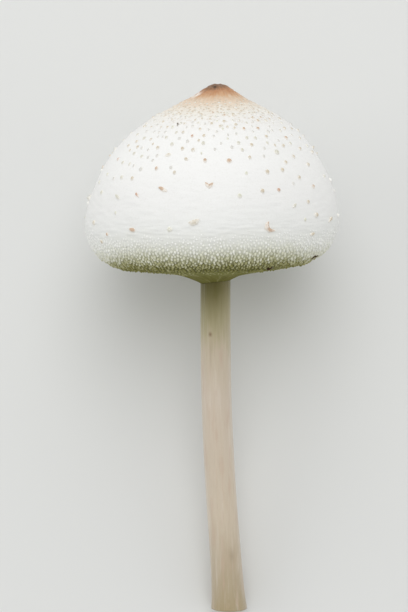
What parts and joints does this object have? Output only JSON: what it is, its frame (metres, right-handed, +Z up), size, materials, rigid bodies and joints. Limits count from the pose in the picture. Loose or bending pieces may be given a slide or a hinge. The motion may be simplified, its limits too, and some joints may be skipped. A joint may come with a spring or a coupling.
{
  "type": "parasol mushroom",
  "caption": "Young parasol mushroom lying on its side: bell-shaped scaly cap with a brown knob, closed veil under it and a long slim stem.",
  "frame": {"origin": "on the surface the mushroom lies on, under the middle of its overall box", "axes": "+Z up; the stem points along -Y and the cap's tip along +Y and a little up; +X is the mushroom's right as the camera sees it from above"},
  "size_m": [0.0716, 0.1446, 0.0694],
  "materials": {
    "cap_flesh": "dry, matt, white mushroom skin with tan scales",
    "veil_membrane": "dry, matt, olive membrane in shade",
    "stem_flesh": "silky, fibrous, pinkish beige"
  },
  "bodies": {
    "root": {"cap": "cap_flesh", "veil": "veil_membrane", "stem": "stem_flesh"}
  },
  "joints": []
}
